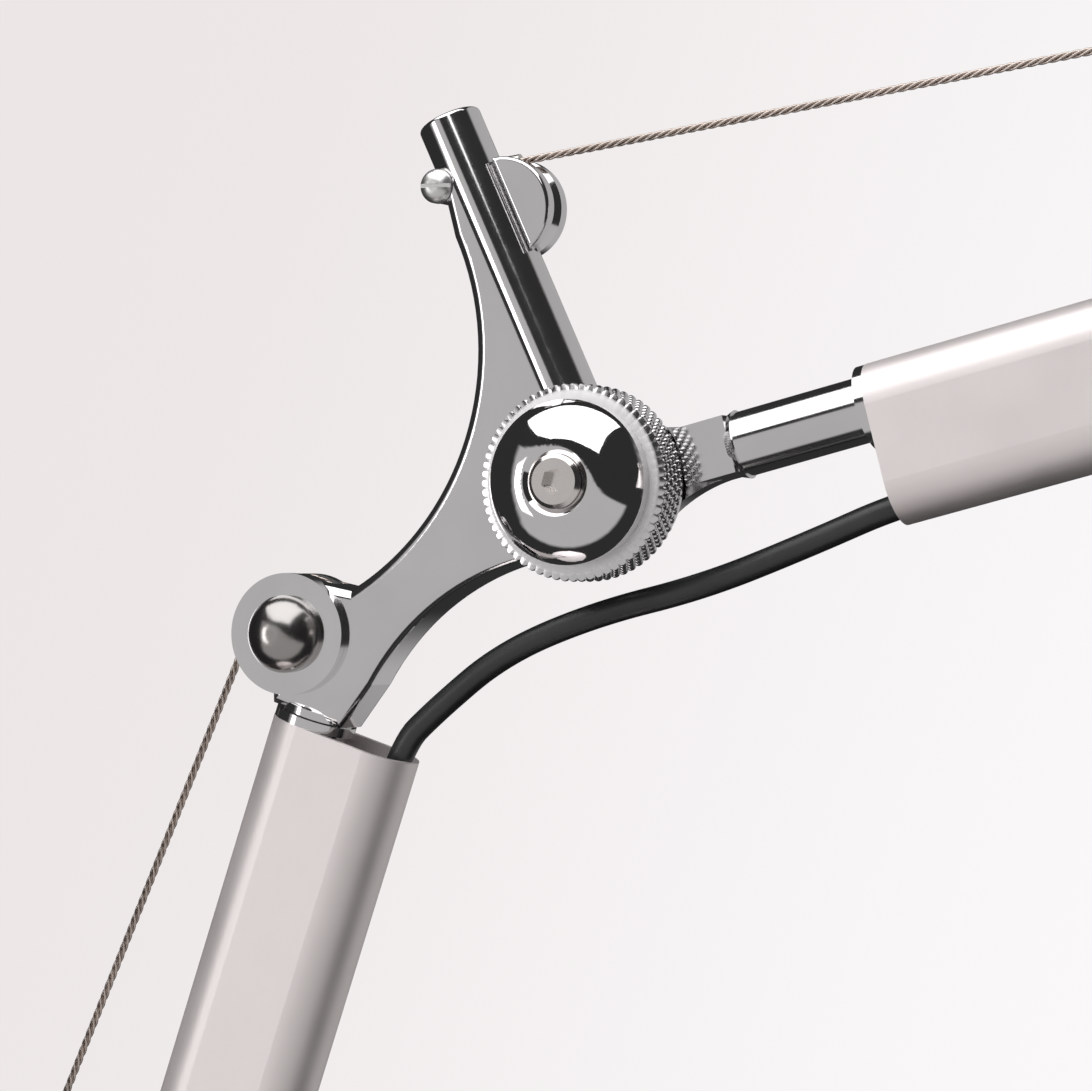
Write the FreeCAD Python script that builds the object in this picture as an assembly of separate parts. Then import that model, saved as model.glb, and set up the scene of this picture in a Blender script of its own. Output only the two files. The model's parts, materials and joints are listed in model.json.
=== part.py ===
"""Spring-balanced desk lamp: weighted base, two flat-oval arms, rope and spring balance, cone shade.

Frame: origin at the centre of the base's underside, +Z up, +X the way the arms reach.
Every arm is drawn in its own arm frame, which place() then sets down in the lamp:
u runs along the arm from its pivot, v across it on the rope's side, and y is the lamp's own Y.
"""
import FreeCAD, Part
import math
import os
from FreeCAD import Vector

# ---- driving dimensions, millimetres and degrees ----
LOWER_LEAN = 18.5            # lower arm, from the vertical
UPPER_RISE = 14.4            # upper arm, above the horizontal
LINK_RISE = 8.0              # head link, above the horizontal
LOWER_ROPE_SPREAD = 5.35     # lower rope opens from its arm going down
UPPER_ROPE_CLOSE = 6.4       # upper rope closes on its arm going out

BASE_PIVOT_X, BASE_PIVOT_Z = -30.0, 66.0
ELBOW_ALONG, ELBOW_ACROSS = 363.0, -27.75     # elbow pivot in the lower arm's frame
HEAD_ALONG = 345.0                            # head pivot in the upper arm's frame

TUBE_W, TUBE_T, TUBE_WALL = 20.0, 10.5, 0.9
TUBE_DROP = (TUBE_W - TUBE_T) / 2             # tube centre below the stem's axis
LOWER_TUBE = (32.0, 322.0)                    # where each tube starts and ends
UPPER_TUBE = (36.4, 310.0)

HALF = 4.0                   # half thickness of every casting, and the stems' radius
LAP = 0.3                    # each half eye's face from the joint plane
EYE_R = 8.6                  # rear half eye
FRONT_EYE_R = 10.5
POCKET_R = 11.5              # room behind a front eye for the rear eye to turn in
BOLT_R = 2.5
FIT = 0.05                   # radial running clearance
PLUG_R, PLUG_T = 5.2, 1.2    # flange of a tube plug
PLUG_DEPTH = 12.0

KNOB_R, KNOB_T = 12.0, 6.4
KNOB_GAP = 0.15
DOME_R, DOME_STEP, DOME_H = 10.0, 1.8, 3.6
DOME_TOP_R = 4.2
KNURLS = 54

ROPE_R = 0.5
CORD_R = 1.6
CORD_V = -TUBE_DROP - TUBE_W / 2 + TUBE_WALL + CORD_R + 0.15
LEAD_INSIDE = 15.0           # how far each jumper lead reaches into its tube
SPRING_R, SPRING_BORE = 3.8, 2.6

POST_ANGLE, POST_LENGTH = 114.5, 50.2         # rope post on the elbow bracket, in the lamp's plane
SADDLE_ALONG, SADDLE_ACROSS = 36.3, 2.9       # half-round saddle, along and beside the post
SADDLE_R = 5.1
SADDLE_FACE = 4.1            # the saddle's front cheek starts this far beside the post's axis
CLAMP_ALONG, CLAMP_ASIDE = 42.3, 3.5          # rope clamp screw, along and beside the post
CLAMP_R, CLAMP_SEAT = 2.15, -3.2
PULLEY_U, PULLEY_V = 332.5, 5.05              # elbow pulley in the lower arm's frame
PULLEY_R, PULLEY_GROOVE = 7.6, 6.6
PULLEY_T = 3.6
TIP_PULLEY_R, TIP_GROOVE = 4.9, 3.5
TIP_PULLEY_V = 1.5

BASE_R, BASE_H, BASE_SKIN = 100.0, 16.0, 1.6
PAD_T = 2.0
BALLAST_R, BALLAST_T = 97.5, 11.0
SPIGOT_R = 6.0

NECK_U = 48.0                # shade axis from the head pivot
NECK_R, NECK_TOP, NECK_FOOT = 19.0, 17.0, -17.0
HOLDER_R, SOCKET_R = 16.4, 13.4               # lamp holder outside, and its socket for the bulb's cap
MOUTH_R, MOUTH_V = 70.0, -116.0
SHADE_WALL = 1.0
BULB_R, BULB_V = 29.0, -62.0
BUTTON_R, BUTTON_TRAVEL = 5.5, 2.0


# ---- frames ----
def rotated(u, v, angle):
    """(x, z) of a point (u, v) whose u axis rises at angle."""
    a = math.radians(angle)
    return u * math.cos(a) - v * math.sin(a), u * math.sin(a) + v * math.cos(a)


LOWER_ANGLE = 90.0 - LOWER_LEAN
BASE_PIVOT = Vector(BASE_PIVOT_X, 0, BASE_PIVOT_Z)


def beyond(start, u, v, angle):
    """The point that lies at (u, v) from start in a frame rising at angle."""
    x, z = rotated(u, v, angle)
    return Vector(start.x + x, start.y, start.z + z)


ELBOW = beyond(BASE_PIVOT, ELBOW_ALONG, ELBOW_ACROSS, LOWER_ANGLE)
HEAD = beyond(ELBOW, HEAD_ALONG, 0, UPPER_RISE)


def place(shape, start, angle):
    """Set a shape drawn in an arm frame down at its pivot."""
    moved = shape.copy()
    moved.rotate(Vector(0, 0, 0), Vector(0, 1, 0), -angle)
    moved.translate(start)
    return moved


# ---- shapes ----
def at(u, v, y=0.0):
    return Vector(u, y, v)


def rod(radius, start, end):
    axis = end - start
    return Part.makeCylinder(radius, axis.Length, start, axis)


def pin(radius, u, v, y0, y1):
    return rod(radius, at(u, v, y0), at(u, v, y1))


def outline(start, *steps):
    """Closed face in the u-v plane: a step is (u, v) for a line or (mid, end) for an arc."""
    edges = []
    here = start
    for step in steps:
        if isinstance(step[0], tuple):
            edges.append(Part.Arc(at(*here), at(*step[0]), at(*step[1])).toShape())
            here = step[1]
        else:
            edges.append(Part.LineSegment(at(*here), at(*step)).toShape())
            here = step
    if math.dist(here, start) > 1e-6:
        edges.append(Part.LineSegment(at(*here), at(*start)).toShape())
    return Part.Face(Part.Wire(edges))


def slab(face, y0, y1):
    """A u-v face given thickness from y0 to y1."""
    moved = face.copy()
    moved.translate(Vector(0, y0, 0))
    return moved.extrude(Vector(0, y1 - y0, 0))


def softened(solid, radius, planes):
    """Fillet the edges that lie in the planes y = planes."""
    edges = []
    for edge in solid.Edges:
        ys = [vertex.Y for vertex in edge.Vertexes] + [edge.CenterOfMass.y]
        if any(all(abs(y - plane) < 1e-4 for y in ys) for plane in planes):
            edges.append(edge)
    return solid.makeFillet(radius, edges)


def turned(profile, axis=Vector(0, 0, 1)):
    """Revolve (radius, height) points, or (mid, end) arcs, about axis."""
    start = profile[0]
    edges = []
    here = start
    for step in list(profile[1:]) + [start]:
        if isinstance(step[0], tuple):
            mid, end = step
            edges.append(Part.Arc(at(*here), at(*mid), at(*end)).toShape())
            here = end
        elif math.dist(here, step) > 1e-7:
            edges.append(Part.LineSegment(at(*here), at(*step)).toShape())
            here = step
    solid = Part.Face(Part.Wire(edges)).revolve(Vector(0, 0, 0), Vector(0, 0, 1), 360)
    if (axis - Vector(0, 0, 1)).Length > 1e-9:
        spin = FreeCAD.Rotation(Vector(0, 0, 1), axis)
        solid.Placement = FreeCAD.Placement(Vector(0, 0, 0), spin)
    return solid


def facing_front(profile, y):
    """A turned piece on the Y axis: heights run towards -Y from the plane y."""
    solid = turned(profile, Vector(0, -1, 0))
    solid.translate(Vector(0, y, 0))
    return solid


def obround(width, thickness, start, end, v):
    """A flat-oval bar along u, its width across the arm."""
    reach = (width - thickness) / 2
    radius = thickness / 2
    top = v + reach
    low = v - reach
    edges = [
        Part.Arc(Vector(start, -radius, top), Vector(start, 0, top + radius), Vector(start, radius, top)),
        Part.LineSegment(Vector(start, radius, top), Vector(start, radius, low)),
        Part.Arc(Vector(start, radius, low), Vector(start, 0, low - radius), Vector(start, -radius, low)),
        Part.LineSegment(Vector(start, -radius, low), Vector(start, -radius, top)),
    ]
    wire = Part.Wire([edge.toShape() for edge in edges])
    return Part.Face(wire).extrude(Vector(end - start, 0, 0))


def swept(edges, radius):
    """A round tube along a chain of edges."""
    path = Part.Wire([edge.toShape() if hasattr(edge, "toShape") else edge for edge in edges])
    first = path.Edges[0]
    start = first.valueAt(first.FirstParameter)
    along = first.tangentAt(first.FirstParameter)
    ring = Part.Wire([Part.makeCircle(radius, start, along)])
    return path.makePipeShell([ring], True, True)


def route(name, points, radius):
    """A cord: straight runs joined by tangent arcs, each as large as its runs allow."""
    edges = []
    here = points[0]
    radii = []
    length = 0.0
    for i in range(1, len(points) - 1):
        corner = points[i]
        back = points[i - 1] - corner
        ahead = points[i + 1] - corner
        trim = 0.45 * min(back.Length, ahead.Length)
        back.normalize()
        ahead.normalize()
        half_turn = (math.pi - back.getAngle(ahead)) / 2
        bend = trim / math.tan(half_turn)
        enter = corner + back * trim
        leave = corner + ahead * trim
        inward = (back + ahead).normalize()
        mid = corner + inward * (bend / math.cos(half_turn) - bend)
        edges.append(Part.LineSegment(here, enter))
        edges.append(Part.Arc(enter, mid, leave))
        length += (enter - here).Length + bend * 2 * half_turn
        radii.append(round(bend, 1))
        here = leave
    edges.append(Part.LineSegment(here, points[-1]))
    length += (points[-1] - here).Length
    tube = swept(edges, radius)
    share = tube.Volume / (math.pi * radius * radius * length)
    print(name, "length", round(length, 1), "radii", radii, "volume share", round(share, 4))
    return tube


# ---- pieces that every joint shares ----
def rear_eye(block_end):
    """Rear half eye with its flared neck, full thickness past the front eye's rim."""
    eye = pin(EYE_R, 0, 0, LAP, HALF)
    neck = slab(outline((3.0, 7.9), ((8.6, 5.0), (15.0, 3.7)), (15.0, -3.4), ((9.0, -4.7), (4.5, -7.2))),
                LAP, HALF - 0.3)
    block = slab(outline((FRONT_EYE_R + 1.2, 3.7), (block_end, 3.7), (block_end, -3.4),
                         (FRONT_EYE_R + 1.2, -3.4)), -HALF + 0.3, HALF - 0.3)
    return eye.fuse([neck, block])


def stem(rod_end, block_end=18.2):
    """Eye, flat block, collar and round rod of an arm, in one piece."""
    collar = Part.makeCone(HALF - 0.1, HALF + 0.3, 1.0, at(block_end - 0.4, 0), Vector(1, 0, 0))
    body = rear_eye(block_end).fuse([collar, rod(HALF, at(block_end + 0.6, 0), at(rod_end, 0))])
    return body.cut(pin(BOLT_R + FIT, 0, 0, -HALF, HALF + 1)).removeSplitter()


def plug(start, inward, hole_v=None):
    """Round tube plug: a flange on the tube's end and a shank inside, bored for the rod."""
    end = start + inward * PLUG_T
    inner = end + inward * PLUG_DEPTH
    shank_r = TUBE_T / 2 - TUBE_WALL - FIT
    body = rod(PLUG_R, at(start, 0), at(end, 0)).fuse(rod(shank_r, at(end, 0), at(inner, 0)))
    if hole_v is not None:
        body = body.cut(rod(ROPE_R + 0.5, at(start - inward, hole_v), at(inner + inward, hole_v)))
    return body


def washer():
    return pin(FRONT_EYE_R - 2.2, 0, 0, -LAP + 0.01, LAP - 0.01).cut(pin(BOLT_R + 0.15, 0, 0, -1, 1))


def nut():
    """Round-cornered hexagon nut behind the rear eye."""
    corners = [rotated(4.6, 0, 60 * i) for i in range(6)]
    hexagon = slab(outline(corners[0], *corners[1:]), HALF + 0.02, HALF + 3.4)
    rim = turned([(0, 0), (4.6, 0), (4.6, 2.7), (3.9, 3.38), (0, 3.38)], Vector(0, 1, 0))
    rim.translate(Vector(0, HALF + 0.02, 0))
    return hexagon.common(rim).cut(pin(BOLT_R + FIT, 0, 0, HALF - 1, HALF + 4))


def knob_ring(radius=KNOB_R, thickness=KNOB_T, knurls=KNURLS):
    """Knurled clamping ring in front of the front eye."""
    y = -HALF - KNOB_GAP
    points = []
    for i in range(2 * knurls):
        r = radius if i % 2 else radius - 0.55
        points.append(rotated(r, 0, 180.0 * i / knurls))
    teeth = slab(outline(points[0], *points[1:]), y - thickness, y)
    lip = 0.7
    blank = facing_front([(0, 0), (radius - lip, 0), (radius, lip), (radius, thickness - lip),
                           (radius - lip, thickness), (0, thickness)], y)
    seat = pin(radius - 3.0, 0, 0, y - thickness - 1, y - thickness + 1.0)
    return teeth.common(blank).cut(seat).cut(pin(BOLT_R + 0.02, 0, 0, y - thickness - 1, y + 1))


def knob_dome(radius=DOME_R, ring_thickness=KNOB_T, ring_radius=KNOB_R):
    """Polished dome on the ring, with a small counterbored flat at its top."""
    y = -HALF - KNOB_GAP - ring_thickness
    top_r = DOME_TOP_R * radius / DOME_R
    high = DOME_STEP + DOME_H
    mid = (radius * 0.80, DOME_STEP + DOME_H * 0.62)
    seat_r = ring_radius - 3.02
    dome = facing_front([(0, -0.98), (seat_r, -0.98), (seat_r, 0), (radius, 0), (radius, DOME_STEP),
                          (mid, (top_r, high)), (top_r - 0.9, high - 0.5), (0, high - 0.5)], y)
    bore = pin(BOLT_R + 0.02, 0, 0, y - high - 1, y + 2)
    counterbore = pin(BOLT_R + 0.85, 0, 0, y - high - 1, y - high + 1.4)
    return dome.cut(bore).cut(counterbore)


def knob_bolt(radius=DOME_R, ring_thickness=KNOB_T):
    """Socket-head bolt through dome, ring, both eyes and nut."""
    head_seat = -HALF - KNOB_GAP - ring_thickness - DOME_STEP - DOME_H + 1.38
    shank = pin(BOLT_R, 0, 0, head_seat, HALF + 4.2)
    head = facing_front([(0, 0), (BOLT_R + 0.8, 0), (BOLT_R + 0.8, 1.5), (BOLT_R + 0.3, 1.9), (0, 1.9)],
                         head_seat)
    corners = [rotated(1.6, 0, 60 * i) for i in range(6)]
    socket = slab(outline(corners[0], *corners[1:]), head_seat - 2.5, head_seat - 0.3)
    return shank.fuse(head).cut(socket).removeSplitter()


def sheave(radius, groove, thickness, bore):
    """Grooved rope wheel on the Y axis."""
    half = thickness / 2
    flank = 0.5
    wheel = turned([(bore, -half), (radius, -half), (radius, -half + flank),
                    ((groove, 0), (radius, half - flank)), (radius, half), (bore, half)], Vector(0, 1, 0))
    return wheel


def slotted_screw(head_r, head_h, shank_r, shank_length):
    """Domed slotted screw along +Z: head above z = 0, shank below."""
    head = turned([(0, 0), (head_r, 0), (head_r, 0.4 * head_h),
                   ((head_r * 0.72, head_h * 0.84), (head_r * 0.15, head_h)), (0, head_h)])
    shank = Part.makeCylinder(shank_r, shank_length, Vector(0, 0, -shank_length))
    slot = Part.makeBox(3 * head_r, 0.5, head_h, Vector(-1.5 * head_r, -0.25, 0.55 * head_h))
    return head.fuse(shank).cut(slot).removeSplitter()


def aimed(shape, point, direction):
    """Turn a shape drawn along +Z to direction and set it at point."""
    moved = shape.copy()
    moved.Placement = FreeCAD.Placement(point, FreeCAD.Rotation(Vector(0, 0, 1), direction))
    return moved


def tube(start, end):
    outer = obround(TUBE_W, TUBE_T, start, end, -TUBE_DROP)
    inner = obround(TUBE_W - 2 * TUBE_WALL, TUBE_T - 2 * TUBE_WALL, start - 1, end + 1, -TUBE_DROP)
    return outer.cut(inner)


def spring(start, end, v):
    """Close-wound balance spring as the sleeve that its coils fill."""
    return rod(SPRING_R, at(start, v), at(end, v)).cut(rod(SPRING_BORE, at(start - 1, v), at(end + 1, v)))


# ---- base and turret, lamp frame ----
def base_pieces():
    r = BASE_R
    top = BASE_H
    cover = turned([(r, PAD_T), (r, top - 3.0), ((r - 0.88, top - 0.88), (r - 3.0, top)), (0, top),
                    (0, top - BASE_SKIN), (r - BASE_SKIN - 0.6, top - BASE_SKIN), (r - BASE_SKIN - 0.6, PAD_T)])
    seat = Vector(BASE_PIVOT_X, 0, 0)
    cover = cover.cut(Part.makeCylinder(SPIGOT_R + 3.05, top + 2, seat))
    ballast_top = top - BASE_SKIN - 0.02
    ballast = Part.makeCylinder(BALLAST_R, BALLAST_T, Vector(0, 0, ballast_top - BALLAST_T))
    ballast = ballast.cut(Part.makeCylinder(SPIGOT_R + 3.05, top, seat))
    recess = Part.makeCylinder(14.0, 3.6, Vector(BASE_PIVOT_X, 0, ballast_top - BALLAST_T - 0.1))
    pad = Part.makeCylinder(r - 4.0, PAD_T + 1.38)
    pad = pad.cut(Part.makeCylinder(15.0, PAD_T + 3, Vector(BASE_PIVOT_X, 0, -1)))
    holes = [Vector(60 * math.cos(a), 60 * math.sin(a), 0) for a in (math.pi / 3, math.pi, -math.pi / 3)]
    screws = []
    for hole in holes:
        point = hole + Vector(0, 0, ballast_top - BALLAST_T)
        ballast = ballast.cut(Part.makeCylinder(2.55, BALLAST_T + 1, point - Vector(0, 0, 0.5)))
        ballast = ballast.cut(Part.makeCone(4.6, 2.5, 2.2, point - Vector(0, 0, 0.01)))
        head = Part.makeCone(4.5, 2.4, 2.2, point)
        screws.append(head.fuse(Part.makeCylinder(2.4, BALLAST_T - 2.2, point + Vector(0, 0, 2.2))))
    bush = turned([(SPIGOT_R + FIT, 4.0), (SPIGOT_R + 3.0, 4.0), (SPIGOT_R + 3.0, top + 0.02),
                   (SPIGOT_R + 6.5, top + 0.02), (SPIGOT_R + 6.5, top + 1.2), (SPIGOT_R + FIT, top + 1.2)])
    bush.translate(seat)
    return {
        "base_cover": cover,
        "ballast_disc": ballast.cut(recess),
        "base_pad": pad,
        "ballast_screws": Part.makeCompound(screws),
        "swivel_bush": bush,
    }


def turret_pieces():
    """Swivelling foot: spigot, column and front half eye, with the rear rope lever."""
    px, pz = BASE_PIVOT_X, BASE_PIVOT_Z
    floor = BASE_H + 1.35
    column = turned([(0, 3.9), (SPIGOT_R, 3.9), (SPIGOT_R, floor), (13.0, floor), (13.0, floor + 2.0),
                     ((7.0, floor + 7.0), (5.6, floor + 18.0)), (5.0, pz - 15.0), (0, pz - 15.0)])
    column.translate(Vector(px, 0, 0))
    r = FRONT_EYE_R
    face = outline((-6.2, -17.0), ((-7.9, -8.0), (-r, 0)), ((0, r), (r, 0)), ((7.9, -8.0), (6.2, -17.0)))
    lever_angle = LOWER_ANGLE + 90
    boss_near = beyond(Vector(0, 0, 0), 6.0, 0, lever_angle)
    boss_far = beyond(Vector(0, 0, 0), 19.0, 0, lever_angle)
    boss = rod(HALF, boss_near, boss_far)
    pocket = pin(POCKET_R, 0, 0, -LAP, HALF + 1)
    head = softened(slab(face, -HALF, HALF), 1.2, (-HALF,)).fuse(boss)
    head = head.cut(pocket).cut(pin(BOLT_R + FIT, 0, 0, -HALF - 1, HALF))
    head = head.cut(rod(2.5, boss_near, boss_far + (boss_far - boss_near)))
    head.translate(BASE_PIVOT)
    turret = column.fuse(head).removeSplitter()
    tail = 56.0
    start = beyond(BASE_PIVOT, 12.0, 0, lever_angle)
    shoulder = beyond(BASE_PIVOT, 19.05, 0, lever_angle)
    end = beyond(BASE_PIVOT, tail, 0, lever_angle)
    lever = rod(2.45, start, shoulder).fuse(rod(HALF, shoulder, end))
    grip = beyond(BASE_PIVOT, lower_rope_reach(), 0, lever_angle)
    up = rope_direction()
    hole = rod(ROPE_R + 0.05, grip - up * 6, grip + up * 6)
    lever = lever.cut(hole)
    seat = grip + Vector(0, -HALF + 0.35, 0)
    lever = lever.cut(rod(1.3, grip + Vector(0, -HALF - 1, 0), grip))
    lever = lever.cut(rod(2.2, grip + Vector(0, -HALF - 1, 0), seat))
    screw = aimed(slotted_screw(2.1, 1.9, 1.25, HALF - 0.35 - ROPE_R - 0.06), seat, Vector(0, -1, 0))
    clip = turned([(SPIGOT_R - 1.0, 2.2), (SPIGOT_R + 2.6, 2.2), (SPIGOT_R + 2.6, 3.4),
                   (SPIGOT_R - 1.0, 3.4)])
    clip.translate(Vector(px, 0, 0))
    neck = Part.makeCylinder(SPIGOT_R - 1.05, 3.0, Vector(px, 0, 1.2))
    return {
        "turret": turret.fuse(neck).removeSplitter(),
        "rope_lever": lever,
        "lever_screw": screw.cut(hole),
        "swivel_clip": clip,
    }


# ---- rope geometry ----
def lower_rope_reach():
    """How far from the base pivot the lower rope crosses the lever."""
    spread = math.radians(LOWER_ROPE_SPREAD)
    radius = PULLEY_GROOVE + ROPE_R
    tangent_u = PULLEY_U + radius * math.sin(spread)
    tangent_v = PULLEY_V + radius * math.cos(spread)
    return tangent_v + tangent_u * math.tan(spread)


def rope_direction():
    """Unit vector along the lower rope, upwards."""
    angle = math.radians(LOWER_ANGLE - LOWER_ROPE_SPREAD)
    return Vector(math.cos(angle), 0, math.sin(angle))


def post_point(along, across=0.0):
    """A point beside the rope post, in the lamp's plane."""
    return beyond(ELBOW, along, -across, POST_ANGLE)


def upper_rope_line():
    """Start point and direction, in the upper arm's frame, of the rope over the saddle."""
    saddle = post_point(SADDLE_ALONG, SADDLE_ACROSS) - ELBOW
    u, v = rotated(saddle.x, saddle.z, -UPPER_RISE)
    close = math.radians(-UPPER_ROPE_CLOSE)
    lift = SADDLE_R + ROPE_R
    return (u - lift * math.sin(close), v + lift * math.cos(close)), (math.cos(close), math.sin(close))


def tip_pulley_u():
    """Where the upper rope comes down to the top of the tip pulley."""
    (u, v), (du, dv) = upper_rope_line()
    radius = TIP_GROOVE + ROPE_R
    return u + ((v - TIP_PULLEY_V) * du - radius) / -dv


def rope_over(centre, radius, start_angle, end_angle):
    """The rope's arc round a wheel, from one angle to the other."""
    def point(angle):
        u, v = rotated(radius, 0, angle)
        return at(centre[0] + u, centre[1] + v)
    middle = (start_angle + end_angle) / 2
    return Part.Arc(point(start_angle), point(middle), point(end_angle)), point(start_angle), point(end_angle)


LOWER_HOOK = 262.0           # where each rope meets its spring
UPPER_HOOK = 250.0


def lower_rope():
    radius = PULLEY_GROOVE + ROPE_R
    arc, first, last = rope_over((PULLEY_U, PULLEY_V), radius, 90 - LOWER_ROPE_SPREAD, -90)
    reach = lower_rope_reach()
    foot = at(0, reach)
    edges = [Part.LineSegment(foot, first), arc, Part.LineSegment(last, at(LOWER_HOOK, last.z))]
    return swept(edges, ROPE_R)


def upper_rope():
    radius = TIP_GROOVE + ROPE_R
    (u, v), (du, dv) = upper_rope_line()
    arc, first, last = rope_over((tip_pulley_u(), TIP_PULLEY_V), radius, 90 - UPPER_ROPE_CLOSE, -90)
    foot = at(u - 4.6 * du, v - 4.6 * dv)
    edges = [Part.LineSegment(foot, first), arc, Part.LineSegment(last, at(UPPER_HOOK, last.z))]
    return swept(edges, ROPE_R)


# ---- elbow bracket, lamp directions about the elbow pivot ----
def arc_point(centre, radius, angle):
    return (centre[0] + radius * math.cos(math.radians(angle)),
            centre[1] + radius * math.sin(math.radians(angle)))


def elbow_bracket():
    """Y-shaped casting: pulley boss, round foot, front half eye and rope post."""
    hollow, hollow_r = (-49.6, 16.6), 34.0
    under, under_r = (-1.8, -41.2), 32.6
    pulley = rotated(PULLEY_U - ELBOW_ALONG, PULLEY_V - ELBOW_ACROSS, LOWER_ANGLE)
    foot_right = rotated(-39.6, -ELBOW_ACROSS - PLUG_R + 0.2, LOWER_ANGLE)
    foot_left = rotated(-39.6, -ELBOW_ACROSS + PLUG_R - 0.2, LOWER_ANGLE)
    clamp = rotated(CLAMP_ALONG, CLAMP_ASIDE, POST_ANGLE)
    face = outline(
        arc_point(hollow, hollow_r, 24.5),
        (arc_point(hollow, hollow_r, -18), arc_point(hollow, hollow_r, -60)),
        (pulley[0] + 2.0, pulley[1] + PULLEY_R - 0.6),
        (pulley[0] - 3.0, pulley[1]),
        foot_left,
        foot_right,
        arc_point(under, under_r, 150),
        (arc_point(under, under_r, 125), arc_point(under, under_r, 100)),
        (0, 0),
        rotated(43.4, 0, POST_ANGLE),
        rotated(42.6, 3.0, POST_ANGLE),
    )
    plate = softened(slab(face, -HALF, HALF), 1.5, (-HALF, HALF))
    post_start = beyond(Vector(0, 0, 0), 2.0, 0, POST_ANGLE)
    post_end = beyond(Vector(0, 0, 0), POST_LENGTH, 0, POST_ANGLE)
    post = rod(HALF, post_start, post_end)
    post = post.makeFillet(0.5, [edge for edge in post.Edges if (edge.CenterOfMass - post_end).Length < 0.1])
    eye = softened(pin(FRONT_EYE_R, 0, 0, -HALF, HALF), 0.8, (-HALF,))
    boss = softened(pin(PULLEY_R, pulley[0], pulley[1], -HALF, HALF), 0.8, (HALF,))
    lug = pin(CLAMP_R - 0.1, clamp[0], clamp[1], CLAMP_SEAT, 1.5)
    body = plate.fuse([post, eye, boss, lug])
    body = body.cut(pin(POCKET_R, 0, 0, -LAP, HALF + 1))
    body = body.cut(pin(BOLT_R + FIT, 0, 0, -HALF - 1, HALF))
    body.translate(ELBOW)
    return body


def bracket_piece():
    foot = LOWER_TUBE[1] + PLUG_T + 0.02
    shank = rod(HALF - 0.02, at(foot, 0), at(foot + 5.0, 0))
    flange = rod(HALF + 0.6, at(foot, 0), at(foot + 1.1, 0))
    body = elbow_bracket().fuse([place(shape, BASE_PIVOT, LOWER_ANGLE) for shape in (shank, flange)])
    slot = pin(PULLEY_R + 0.6, PULLEY_U, PULLEY_V, -PULLEY_T / 2 - 0.2, PULLEY_T / 2 + 0.2)
    bore = pin(2.02, PULLEY_U, PULLEY_V, -HALF - 1, HALF - 1.0)
    for cutter in (slot, bore):
        body = body.cut(place(cutter, BASE_PIVOT, LOWER_ANGLE))
    rope_v = PULLEY_V - PULLEY_GROOVE - ROPE_R
    passage = place(rod(ROPE_R + 0.5, at(PULLEY_U, rope_v), at(LOWER_TUBE[1] - 2, rope_v)),
                    BASE_PIVOT, LOWER_ANGLE)
    passage = passage.fuse(place(lower_rope_exit(), BASE_PIVOT, LOWER_ANGLE))
    body = body.cut(passage)
    line_start, line_way = upper_rope_line()
    rope_hole = place(rod(ROPE_R + 0.1, at(line_start[0] - 9 * line_way[0], line_start[1] - 9 * line_way[1]),
                          at(line_start[0] + 3 * line_way[0], line_start[1] + 3 * line_way[1])),
                      ELBOW, UPPER_RISE)
    body = body.cut(rope_hole)
    seat = clamp_screw_seat()
    body = body.cut(rod(1.3, seat - FACING * 3.2, seat + FACING))
    return body.cut(rod(CLAMP_R + 0.1, seat, seat + FACING * 2)).removeSplitter()


def lower_rope_exit():
    """Room for the rope where it leaves the bracket beside the pulley."""
    spread = math.radians(LOWER_ROPE_SPREAD)
    radius = PULLEY_GROOVE + ROPE_R
    first = at(PULLEY_U + radius * math.sin(spread), PULLEY_V + radius * math.cos(spread))
    return rod(ROPE_R + 0.6, first, first + at(-20 * math.cos(spread), 20 * math.sin(spread)))


FACING = Vector(0, -1, 0)    # the way the rope clamp screw faces


def clamp_screw_seat():
    """Where the rope clamp screw's head sits on its lug beside the post."""
    return post_point(CLAMP_ALONG, -CLAMP_ASIDE) + Vector(0, CLAMP_SEAT, 0)


def clamp_pieces():
    """Half-round saddle, rope ferrule and clamp screw on the post."""
    wheel = turned([(0, -3.0), (SADDLE_R + 1.2, -3.0), (SADDLE_R + 1.2, -1.2), (SADDLE_R, -0.5),
                    (SADDLE_R, 0.5), (SADDLE_R + 1.2, 1.2), (SADDLE_R + 1.2, 3.0), (0, 3.0)],
                   Vector(0, 1, 0))
    wheel.translate(post_point(SADDLE_ALONG, SADDLE_ACROSS))
    post = rod(HALF + 0.01, post_point(20), post_point(POST_LENGTH + 4))
    far_side = place(Part.makeBox(30, 20, 30, Vector(-15, -10, 0)), post_point(SADDLE_ALONG), POST_ANGLE)
    in_front = place(Part.makeBox(30, 10, 30, Vector(-15, -11.2, -SADDLE_FACE)),
                     post_point(SADDLE_ALONG), POST_ANGLE)
    saddle = wheel.cut(post).cut(far_side).cut(in_front)
    saddle = max(saddle.Solids, key=lambda solid: solid.Volume)
    saddle = softened(saddle, 0.45, (-3.0,))
    (u, v), (du, dv) = upper_rope_line()
    sleeve_start = at(u - 0.2 * du, v - 0.2 * dv)
    sleeve = rod(0.95, sleeve_start, sleeve_start + at(2.4 * du, 2.4 * dv))
    sleeve = sleeve.cut(rod(ROPE_R + 0.02, sleeve_start - at(du, dv), sleeve_start + at(5 * du, 5 * dv)))
    sleeve = place(sleeve, ELBOW, UPPER_RISE)
    screw = aimed(slotted_screw(CLAMP_R, 2.0, 1.25, 2.6), clamp_screw_seat(), FACING)
    return {
        "rope_saddle": saddle,
        "rope_ferrule": sleeve.cut(saddle).cut(post),
        "rope_clamp_screw": screw,
    }


# ---- lower arm ----
def on_lower(pieces):
    return {name: place(shape, BASE_PIVOT, LOWER_ANGLE) for name, shape in pieces.items()}


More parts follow.
